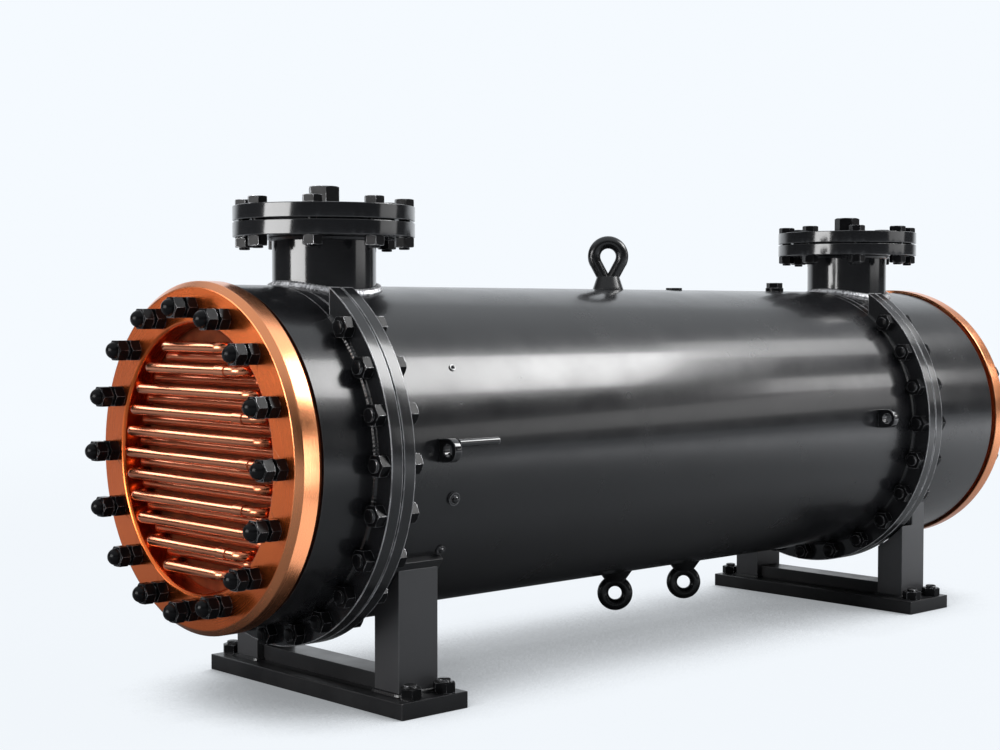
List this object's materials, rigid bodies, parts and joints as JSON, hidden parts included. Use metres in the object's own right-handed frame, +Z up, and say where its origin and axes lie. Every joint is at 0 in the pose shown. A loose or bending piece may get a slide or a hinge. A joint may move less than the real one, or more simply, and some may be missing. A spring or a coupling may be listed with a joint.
{
  "type": "shell and tube heat exchanger",
  "caption": "Horizontal shell and tube heat exchanger on two saddles, with copper end rings, copper tubes and two blanked nozzles.",
  "frame": {"origin": "on the floor, under the middle of the length and width", "axes": "+X along the shell axis from the front copper end to the rear one, +Z up, -Y is the side with the side hooks"},
  "size_m": [1.503, 0.4646, 0.623],
  "materials": {
    "black_paint": "gloss",
    "saddle_paint": "satin",
    "black_fitting": "gloss",
    "black_fastener": "satin",
    "copper": "polished",
    "copper_tube": "polished",
    "gasket": "matte"
  },
  "bodies": {
    "root": {"front_end_ring": "copper", "front_tube_sheet": "copper", "front_outer_tubes": "copper_tube", "front_inner_tubes": "copper_tube", "front_end_studs": "black_fastener", "rear_end_ring": "copper", "rear_tube_sheet": "copper", "rear_outer_tubes": "copper_tube", "rear_inner_tubes": "copper_tube", "rear_end_studs": "black_fastener", "front_channel": "black_paint", "front_channel_flange": "black_paint", "shell_front_flange": "black_paint", "front_girth_bolts": "black_fastener", "shell": "black_paint", "shell_rear_flange": "black_paint", "rear_channel_flange": "black_paint", "rear_girth_bolts": "black_fastener", "rear_channel": "black_paint", "girth_gaskets": "gasket", "front_nozzle_neck": "black_paint", "front_nozzle_flange": "black_paint", "front_nozzle_cover": "black_paint", "front_nozzle_bolts": "black_fastener", "rear_nozzle_neck": "black_paint", "rear_nozzle_flange": "black_paint", "rear_nozzle_cover": "black_paint", "rear_nozzle_bolts": "black_fastener", "nozzle_gaskets": "gasket", "nozzle_plugs": "black_fastener", "front_saddle_base": "saddle_paint", "front_saddle_legs": "saddle_paint", "front_saddle_cradle": "saddle_paint", "rear_saddle_base": "saddle_paint", "rear_saddle_legs": "saddle_paint", "rear_saddle_cradle": "saddle_paint", "saddle_beams": "saddle_paint", "anchor_bolts": "black_fastener", "lifting_eye": "black_fitting", "lower_lugs": "black_fitting", "side_hooks": "black_fitting", "side_bar": "black_fitting", "side_bosses": "black_fitting", "top_vents": "black_fastener"}
  },
  "joints": []
}
